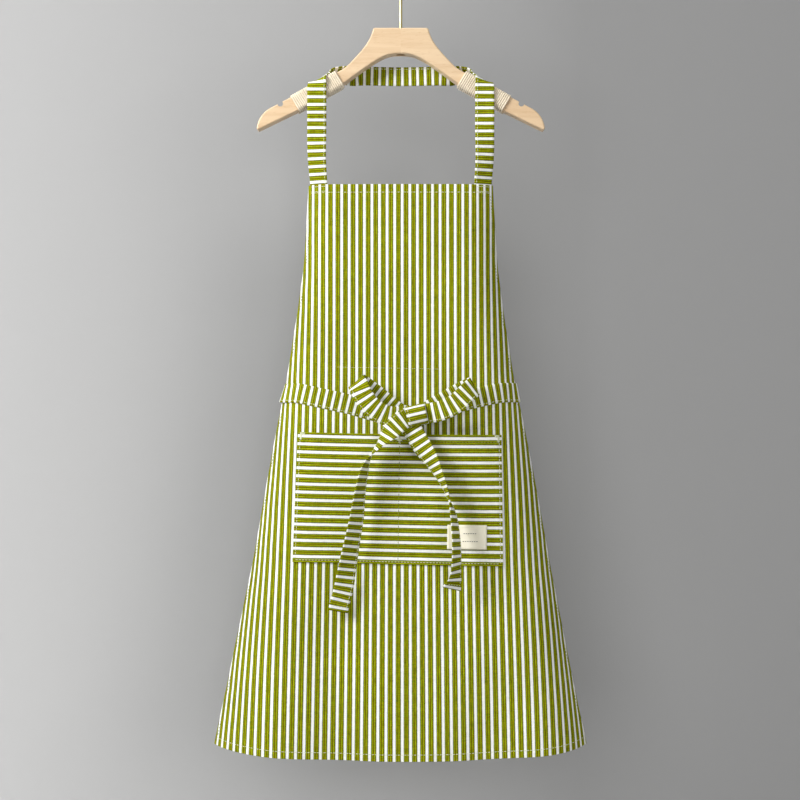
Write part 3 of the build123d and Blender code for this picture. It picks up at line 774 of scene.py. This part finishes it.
inset = POCKET_EDGE_SEAM / POCKET_WIDTH
ones = np.ones(120)
run = np.linspace(0.012, 0.988, 120)
seam_lines = [
    pocket_line(ones * inset, run),
    pocket_line(ones * (1 - inset), run),
    pocket_line(run, ones * (1 - POCKET_EDGE_SEAM / POCKET_DEPTH)),
]
pocket_thread = stitches("pocket_stitches", seam_lines, THREAD)
divider_thread = stitches("pocket_divider_stitches", [pocket_line(ones * 0.5, run)], OLIVE_THREAD)
top_thread = stitches("pocket_hem_stitches", [pocket_line(run, ones * POCKET_HEM_SEAM)], OLIVE_THREAD)
tacks = [tack(u, 0.031, 0.011, 0.055, 15) for u in (0.016, 0.984)]
tacks += [tack(u, 0.012, 0.024, 0.018, 7) for u in (0.024, 0.976)]
tacks += [tack(0.5, 0.05, 0.012, 0.05, 11), tack(0.5, 0.045, 0.026, 0.016, 7)]
pocket_tacks = stitches("pocket_tack_thread", tacks, THREAD, pitch=2.2 * MM, length=2.4 * MM)
on_apron(pocket_thread)
on_apron(divider_thread, "pocket_divider_seam")
on_apron(top_thread)
on_apron(pocket_tacks, "pocket_bartacks")


# ------------------------------------------------------------------ label
LABEL_CENTRE = (85.0 * MM, -746.7 * MM)
LABEL_SIZE = (50.8 * MM, 31.2 * MM)
LABEL_TILT = math.radians(-0.8)
LABEL_T = 0.7 * MM
LABEL_SEAM = (0.455, 0.43)  # where its seam runs, across and up, as a part of its size


def label_place(a, b, proud):
    """A point on the label, a and b from -0.5 to 0.5 across and up, proud metres off the pocket."""
    a, b = np.broadcast_arrays(np.asarray(a, float), np.asarray(b, float))
    dx, dz = a * LABEL_SIZE[0], b * LABEL_SIZE[1]
    x = LABEL_CENTRE[0] + dx * math.cos(LABEL_TILT) - dz * math.sin(LABEL_TILT)
    z = LABEL_CENTRE[1] + dx * math.sin(LABEL_TILT) + dz * math.cos(LABEL_TILT)
    y = surface.front_y(x, z) - CLOTH_T - 1.9 * MM - proud
    edge = np.minimum(0.5 - abs(a), 0.5 - abs(b))
    return np.stack([x, y + 0.25 * MM * (1 - smooth(edge / 0.06)), z], -1)


label_a, label_b = np.meshgrid(np.linspace(-0.5, 0.5, 31), np.linspace(0.5, -0.5, 21))
label = sheet(
    "label_patch",
    label_place(label_a, label_b, 0.75 * MM),
    np.stack([label_a * LABEL_SIZE[0], label_b * LABEL_SIZE[1]], -1),
    LABEL_T,
    LABEL,
)
on_apron(label, "label")


def label_line(a, b):
    return facing(label_place(a, b, 0.76 * MM))


side_run = np.linspace(-1, 1, 40)
label_edges = [label_line(side_run * LABEL_SEAM[0], sign * LABEL_SEAM[1]) for sign in (-1, 1)]
label_edges += [label_line(sign * LABEL_SEAM[0], side_run * LABEL_SEAM[1]) for sign in (-1, 1)]
label_thread = stitches(
    "label_stitches", label_edges, LABEL, pitch=2.9 * MM, length=2.3 * MM, radius=0.25 * MM
)
mark_rows = [label_line(np.linspace(-0.10, 0.25, 30), 0.15), label_line(np.linspace(-0.12, 0.33, 30), -0.17)]
label_marks = stitches("label_dashes", mark_rows, INK, pitch=2.9 * MM, length=2.1 * MM, radius=0.42 * MM)
on_apron(label_thread, "label_seam")
on_apron(label_marks)


# ------------------------------------------------------------------ neck strap
def mirrored(frames):
    return [((-c[0], c[1], c[2]), (-w[0], w[1], w[2])) for c, w in reversed(frames)]


def mm_frames(rows):
    return [(tuple(v * MM for v in row[:3]), row[3:]) for row in rows]


def strap_root():
    """The strap's left lower end, sewn behind the bib."""
    frames = []
    for z in (-0.314, -0.302, -0.291):
        point = surface.place(-STRAP_X, z, -2.9 * MM, detail=False)
        ahead = surface.place(-STRAP_X + 2 * MM, z, -2.9 * MM, detail=False)
        frames.append((tuple(point), tuple(unit(ahead - point))))
    return frames


# Each row is a centre in mm and the direction of the strap's width.
STRAP_LEFT = [
    (-109.2, -12.2, -255, 0.97, -0.25, 0), (-109.2, -13.6, -215, 1, 0, 0),
    (-109.2, -13.9, -180, 1, 0, 0), (-109.2, -13.7, -163, 0.99, -0.02, 0.08),
    (-108.7, -11.2, -155.6, 0.94, -0.2, 0.28), (-106, -4.5, -151.4, 0.81, -0.42, 0.41),
    (-102, 3, -147.4, 0.78, -0.45, 0.43), (-97, 9.4, -144.8, 0.62, -0.52, 0.58),
    (-88, 13.2, -140.6, 0.36, -0.72, 0.59), (-78, 16.8, -140.6, 0.15, -0.60, 0.78),
    (-64, 14.8, -143.2, 0.03, -0.14, 0.99), (-50, 14, -143, 0, 0, 1),
]
strap_left = strap_root() + mm_frames(STRAP_LEFT)
strap_middle = mm_frames([(0, 14.2, -143.9, 0, 0, 1)])
strap = Ribbon(strap_left + strap_middle + mirrored(strap_left), width=STRAP_W, seed=1.0)
strap_cloth = strap.mesh("neck_strap_cloth", start=2.0 * MM)
strap_lines = [strap.seam(STRAP_THREAD_IN, side) for side in (-1, 1)]
strap_thread = stitches("neck_strap_stitches", strap_lines, THREAD)
# two rows of stitches hold each end of the strap to the bib
box_run = np.linspace(98.5, 120, 24) * MM
box_lines = [cloth_seam(side * box_run, z, 0.02 * MM) for side in (-1, 1) for z in (-0.2925, -0.299)]
strap_tacks = stitches("strap_tack_thread", box_lines, THREAD, pitch=2.6 * MM, length=2.2 * MM)
on_apron(strap_cloth, "neck_strap")
on_apron(strap_thread)
on_apron(strap_tacks, "strap_bartacks")


# ------------------------------------------------------------------ waist ties
BACK_DROP = -30 * MM
# Across the back: x in mm, and the share of the way down to the sewn end.
BACK_RUN = (
    (138, 0.03), (120, 0.06), (80, 0.17), (40, 0.33), (0, 0.5), (-40, 0.67), (-80, 0.83), (-115, 0.93)
)


def on_front(x, z):
    return (x, float(surface.front_y(x, z)) - 1.35 * MM, z)


def tie_path(side, front, back_y, lean):
    """A waist tie: from the knot over the front, round one edge, across the back, to its sewn end.

    side is the side whose edge it goes round: 1 for +X.
    """
    leaning = (-side * lean, 0.0, 1.0)
    frames = [(on_front(side * x * MM, z * MM), leaning) for x, z in front]
    z = front[-1][1] * MM
    half = surface.half_cloth(z)
    for inset in (7.0 * MM, 2.0 * MM):
        frames.append((tuple(surface.place(side * (half - inset), z, 1.25 * MM, detail=False)), leaning))
    edge = surface.place(side * half, z, 0.0, detail=False)
    inner = surface.place(side * (half - MM), z, 0.0, detail=False)
    out = unit(surface.place(side * half, z, MM, detail=False) - edge)
    onward = unit(edge - inner)
    for ahead, outward, wide in ((2.4, 0.6, leaning), (3.2, -1.6, leaning), (1.6, -4.2, UPRIGHT)):
        frames.append((tuple(edge + onward * ahead * MM + out * outward * MM), wide))
    for x, share in BACK_RUN:
        sag = -1.2 * MM * math.sin(math.pi * share)
        y = back_y if abs(x) < 130 else back_y - 1.0 * MM
        frames.append(((side * x * MM, y, z + BACK_DROP * share + sag), UPRIGHT))
    low = z + BACK_DROP
    half = surface.half_cloth(low)
    far_edge = surface.place(-side * half, low, 0.0, detail=False)
    frames.append(((far_edge[0] + side * 15 * MM, back_y - 0.3 * MM, low + 0.8 * MM), UPRIGHT))
    frames.append(((far_edge[0] + side * 6.0 * MM, back_y - 0.4 * MM, low + 0.3 * MM), UPRIGHT))
    return frames


# From the knot to the edge, as x away from the centre line and z, in mm.
FRONT_RIGHT = [(18, -592), (36, -586.5), (56, -579.5), (76, -573.6), (98, -567.7), (117, -563.6), (134, -561)]
FRONT_LEFT = [(2, -595), (20, -589), (44, -582.5), (68, -576), (97, -569.5), (118, -565), (134, -561.8)]
for name, side, front, back_y, lean in (
    ("left", 1, FRONT_RIGHT, 13.2 * MM, 0.20),
    ("right", -1, FRONT_LEFT, 16.6 * MM, 0.34),
):
    ribbon = Ribbon(tie_path(side, front, back_y, lean), seed=3.0 + side)
    cloth = ribbon.mesh(f"waist_tie_{name}_cloth", start=1.0 * MM)
    lines = [ribbon.seam(BOW_THREAD_IN, face) for face in (-1, 1)]
    thread = stitches(f"waist_tie_{name}_stitches", lines, THREAD)
    # a cross of stitches holds the end, on the face that looks backwards
    f = np.linspace(0, 1, 14)
    i = (len(ribbon.along) - 7 + 5 * f).astype(int)
    back = ribbon.normal[i] * np.where(ribbon.normal[i, 1:2] > 0, 1, -1)
    middle = ribbon.centre[i] + back * 0.9 * MM
    reach = ribbon.across[i] * (f[:, None] - 0.5) * 15 * MM
    cross = [(middle + slant * reach, back) for slant in (-1, 1)]
    tack_thread = stitches(f"tie_tack_{name}_thread", cross, THREAD, pitch=2.4 * MM, length=2.2 * MM)
    on_apron(cloth, f"waist_tie_{name}")
    on_apron(thread)
    on_apron(tack_thread, f"tie_bartack_{name}")


# ------------------------------------------------------------------ bow
# The loops' rows are a centre in mm and the direction of the tie's width.
LOOP_LEFT = [
    (14, -31, -596, 0.68, 0, 0.73), (-7, -33, -584.3, 0.68, 0, 0.73), (-29, -34, -566.6, 0.68, 0, 0.73),
    (-48.8, -35.5, -551.8, 0.74, 0, 0.67), (-56.8, -41.5, -547.3, 0.77, 0, 0.64),
    (-53.2, -47.8, -553, 0.79, 0, 0.61), (-48.6, -50.2, -563.5, 0.77, 0, 0.64),
    (-37.4, -51, -578.6, 0.66, 0, 0.75), (-18, -48, -590.4, 0.50, 0, 0.87),
    (5, -43, -591.5, 0.35, 0, 0.94),
]
LOOP_RIGHT = [
    (24, -31, -592.5, -0.49, 0, 0.87), (39.4, -33, -582.4, -0.49, 0, 0.87),
    (64.2, -34, -567.8, -0.49, 0, 0.87), (84.6, -35.5, -557, -0.48, 0, 0.88),
    (93.8, -41.5, -553.2, -0.47, 0, 0.88), (86.5, -48, -559.8, -0.50, 0, 0.87),
    (70.8, -51, -574.6, -0.55, 0, 0.835), (51.5, -49.8, -584.2, -0.46, 0, 0.89),
    (32, -44, -588.2, -0.34, 0, 0.94),
]
KNOT_TILT = math.radians(13)
KNOT_CENTRE = np.array([20.2, 0.0, -590.2]) * MM
# The knot's wrap in mm: y, and height above its centre.
KNOT_SECTION = [
    (-31, -7.5), (-36, -12.2), (-43, -13), (-49.5, -9.5), (-52, -1.0), (-50.5, 8.0), (-44, 12.4),
    (-36.5, 12.2), (-31, 7.5),
]


def knot_frames():
    """The wrap over the front of the knot, from behind its foot to behind its head."""
    wide = (math.cos(KNOT_TILT), 0.0, math.sin(KNOT_TILT))
    frames = []
    for y, h in KNOT_SECTION:
        centre = KNOT_CENTRE + np.array([-math.sin(KNOT_TILT) * h, y, math.cos(KNOT_TILT) * h]) * MM
        frames.append((tuple(centre), wide))
    return frames


def hanging_frames(rows):
    """Frames of a hanging tail from (x, y, z, turn in degrees): 0 shows its full front, 90 its edge."""
    centres = np.array([row[:3] for row in rows], float) * MM
    tangents = np.gradient(centres, axis=0)
    frames = []
    for centre, tangent, row in zip(centres, tangents, rows):
        flat = unit(np.array([-tangent[2], 0.0, tangent[0]]))
        turn = math.radians(row[3])
        across = flat * math.cos(turn) + np.array(OUT) * math.sin(turn)
        frames.append((tuple(centre), tuple(across)))
    return frames


# The tails' rows are a centre in mm and a turn in degrees.
TAIL_LEFT = [
    (16, -42, -588, 0), (4, -46, -594.5, 0), (-6.1, -49, -603.0, 4), (-13.5, -51, -610.5, 20),
    (-19, -52.5, -617.5, 48), (-25, -53.5, -625, 70), (-33.3, -54, -635, 84), (-40.5, -54.5, -645, 98),
    (-45.2, -54.5, -656, 110), (-51, -54, -684, 120), (-56.5, -53, -723, 135), (-62.2, -52, -752, 142),
    (-67.7, -51, -781, 153), (-72.7, -50, -810, 168), (-77.9, -49, -830, 172),
    (-80.0, -48.5, -840, 172),
]
TAIL_RIGHT = [
    (6, -41, -595, 0), (14.9, -43.5, -608.9, 6), (24.5, -46, -625.4, 12), (37, -48.5, -644.6, 38),
    (48, -50, -664.4, 64), (56.7, -51, -684, 79), (60.5, -52, -695, 86), (64, -53.5, -705.4, 97),
    (67, -55.5, -717, 106), (69, -58, -732.5, 112), (70.4, -60.5, -752, 116), (70.5, -62, -772, 119),
    (69.5, -61, -789, 122), (68, -60, -799, 134), (64.5, -58, -810, 160),
]
for name, frames, start in (
    ("bow_loop_left", mm_frames(LOOP_LEFT), 4.0 * MM),
    ("bow_loop_right", mm_frames(LOOP_RIGHT), 1.0 * MM),
    ("bow_knot", knot_frames(), 6.5 * MM),
    ("bow_tail_left", hanging_frames(TAIL_LEFT), 3.0 * MM),
    ("bow_tail_right", hanging_frames(TAIL_RIGHT), 0.0),
):
    is_tail = "tail" in name
    ribbon = Ribbon(frames, step=2.0 * MM, width=TAPE_W if is_tail else BOW_W, seed=len(name) * 1.7)
    cloth = ribbon.mesh(f"{name}_cloth", start=start, end_hem=END_HEM if is_tail else 0.0)
    lines = [ribbon.seam(BOW_THREAD_IN, face) for face in (-1, 1)]
    if is_tail:
        lines += [ribbon.cross_seam(END_HEM - 1.5 * MM, face) for face in (-1, 1)]
    thread = stitches(f"{name}_stitches", lines, THREAD)
    if is_tail:
        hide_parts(name)
        for ob in (cloth, thread):
            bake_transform(ob)
    else:
        on_apron(cloth, name)
        on_apron(thread)


# ------------------------------------------------------------------ twine on the arms
WRAP_LENGTH = 70 * MM
WRAP_HEIGHT = 24.2 * MM
WRAP_DEPTH = 23.6 * MM
WRAP_SLOPE = math.radians(29.2)
WRAP_TURNS = 25
WRAP_CORNER = 3.6 * MM
TWINE_LAY = 6.0 * MM
TWINE_LOOSE = 0.2 * MM
TWINE_START = 0.62  # where round the arm the first turn starts


def rounded_rectangle(half_a, half_b, corner, count=96):
    """Evenly spaced points round a rectangle with rounded corners, and their length."""
    points = []
    for quarter, (a, b) in enumerate(((1, 1), (-1, 1), (-1, -1), (1, -1))):
        for step in range(9):
            angle = (quarter + step / 8) * math.pi / 2
            across = a * (half_a - corner) + corner * math.cos(angle)
            points.append((across, b * (half_b - corner) + corner * math.sin(angle)))
    points = np.array(points + points[:1])
    length = along_line(points)
    return sample(np.linspace(0, length[-1], count + 1), length, points), length[-1]


def twine_wrap(name, side):
    low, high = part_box(name)
    centre = (np.array(low) + np.array(high)) / 2
    axis = np.array([side * math.cos(WRAP_SLOPE), 0.0, -math.sin(WRAP_SLOPE)])
    up = np.array([side * math.sin(WRAP_SLOPE), 0.0, math.cos(WRAP_SLOPE)])
    deep = np.array(OUT)
    ring, girth = rounded_rectangle(WRAP_DEPTH / 2 - TWINE_R, WRAP_HEIGHT / 2 - TWINE_R, WRAP_CORNER)
    per_turn, sides = 84, 12
    count = WRAP_TURNS * per_turn
    t = np.linspace(0, 1, count + 1)
    around = (t * WRAP_TURNS + TWINE_START) % 1.0
    a, b = sample(around, np.linspace(0, 1, len(ring)), ring).T[..., None]
    loose = np.array([noise.noise(Vector((k * 0.9 / per_turn, side * 3.0, 1.0))) for k in range(count + 1)])
    along = (t - 0.5) * (WRAP_LENGTH - 2 * TWINE_R) + loose * TWINE_LOOSE
    outward = deep * a + up * b
    line = centre + axis * along[:, None] + outward
    tangent = unit(np.gradient(line, axis=0))
    outward = unit(outward - (outward * tangent).sum(1, keepdims=True) * tangent)
    beside = np.cross(tangent, outward)
    distance = t * girth * WRAP_TURNS
    verts = []
    for i in range(count + 1):
        for j in range(sides):
            angle = 2 * math.pi * j / sides
            # three strands, twisted together once in each lay
            lobe = 0.93 + 0.07 * abs(math.cos(1.5 * (angle - 2 * math.pi * distance[i] / TWINE_LAY)))
            spoke = outward[i] * math.cos(angle) + beside[i] * math.sin(angle)
            verts.append(line[i] + TWINE_R * lobe * spoke)
    ob = make_object(name + "_twine", verts, tube_faces(0, count + 1, sides, flip=True), {}, TWINE)
    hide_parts(name)
    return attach(ob, "hanger")


twine_wrap("left_cord_wrap", -1)
twine_wrap("right_cord_wrap", 1)


# ------------------------------------------------------------------ camera, light and stage
VIEW_SPAN = 1.048  # metres across the view at the hanger
CAMERA_BACK = 1.8
SENSOR = 36.0
scene = bpy.context.scene
scene.view_settings.view_transform = "Standard"
camera_data = bpy.data.cameras.new("camera")
camera_data.sensor_width = SENSOR
camera_data.lens = SENSOR * CAMERA_BACK / VIEW_SPAN
camera = bpy.data.objects.new("camera", camera_data)
camera.location = (-0.001, -CAMERA_BACK, -0.5706)
camera.rotation_euler = (math.radians(90), 0, 0)
scene.collection.objects.link(camera)
scene.camera = camera


MIDDLE = (0.0, 0.0, -0.5)


def area_light(name, place, size, power, colour=grey(1.0)):
    data = bpy.data.lights.new(name, "AREA")
    data.shape = "DISK"
    data.size = size
    data.energy = power
    data.color = colour
    ob = bpy.data.objects.new(name, data)
    ob.location = place
    ob.rotation_euler = (Vector(MIDDLE) - Vector(place)).to_track_quat("-Z", "Y").to_euler()
    scene.collection.objects.link(ob)
    return ob


key = area_light("key", (-1.55, -1.0, 0.4), 0.9, 52, (1.0, 0.995, 0.98))
area_light("fill", (1.6, -2.6, -0.1), 1.6, 20, (1.0, 0.99, 0.975))
area_light("top", (0.0, -0.9, 1.6), 1.2, 16)
area_light("back", (0.9, 2.6, 0.3), 1.8, 45)
wall_light = area_light("wall_light", (-0.55, -3.0, -0.3), 2.4, 74)
wall_fill = area_light("wall_fill", (0.9, -2.8, -0.3), 2.0, 10)

world = bpy.data.worlds.new("studio")
world.use_nodes = True
background = world.node_tree.nodes["Background"]
background.inputs[0].default_value = (0.75, 0.74, 0.725, 1.0)
background.inputs[1].default_value = 0.20
scene.world = world


def stage_plane(name, corners, material):
    mesh = bpy.data.meshes.new(name)
    mesh.from_pydata(corners, [], [(0, 1, 2, 3)])
    mesh.materials.append(material)
    ob = bpy.data.objects.new(name, mesh)
    scene.collection.objects.link(ob)
    return ob


# From left to right, over 1.25 m: painted light fall-off on the wall, its grey lighter on the left and darker
# to the right, a little lighter in the middle against the part's cast shadow.
WALL_PAINTED_LIGHT_TONES = [(0.0, 0.525), (0.256, 0.42), (0.5, 0.355), (0.72, 0.257), (1.0, 0.245)]


def painted_light_wall_material():
    """Matt grey paper with painted light: lighter on the left and darker to the right. Its far side isn't
    seen, so that it never hides the part.
    """
    m = Material("backdrop_paper_painted_light", 1.0, specular=0.0)
    split = m.nodes.new("ShaderNodeSeparateXYZ")
    m.links.new(m.coords(), split.inputs[0])
    # painted light: the grey ramps from light on the left to dark on the right
    m.colour(m.ramp(m.scale_add(split.outputs[0], 0.8, 0.5), [(at, grey(tone)) for at, tone in WALL_PAINTED_LIGHT_TONES]))
    geometry = m.nodes.new("ShaderNodeNewGeometry")
    clear = m.nodes.new("ShaderNodeBsdfTransparent")
    mix = m.nodes.new("ShaderNodeMixShader")
    m.links.new(geometry.outputs["Backfacing"], mix.inputs[0])
    m.links.new(m.shader.outputs[0], mix.inputs[1])
    m.links.new(clear.outputs[0], mix.inputs[2])
    m.links.new(mix.outputs[0], m.nodes["Material Output"].inputs["Surface"])
    return m.mat


def floor_material():
    m = Material("pale_floor", 0.9)
    m.colour(m.ramp(m.noise(m.coords(), 60.0, 3.0), [(0.3, grey(0.60)), (0.7, grey(0.64))]))
    return m.mat


WALL_Y = 0.285
FLOOR_Z = -1.35
wall_corners = [(-3, WALL_Y, -3), (3, WALL_Y, -3), (3, WALL_Y, 2.5), (-3, WALL_Y, 2.5)]
floor_corners = [(-3, -3, FLOOR_Z), (3, -3, FLOOR_Z), (3, 3, FLOOR_Z), (-3, 3, FLOOR_Z)]
wall = stage_plane("backdrop", wall_corners, painted_light_wall_material())
stage_plane("floor", floor_corners, floor_material())

# the key reaches the part but not the wall, and the wall has two lights of its own
for light, state in ((key, "EXCLUDE"), (wall_light, "INCLUDE"), (wall_fill, "INCLUDE")):
    lit = bpy.data.collections.new(light.name + "_receivers")
    lit.objects.link(wall)
    lit.collection_objects[0].light_linking.link_state = state
    light.light_linking.receiver_collection = lit
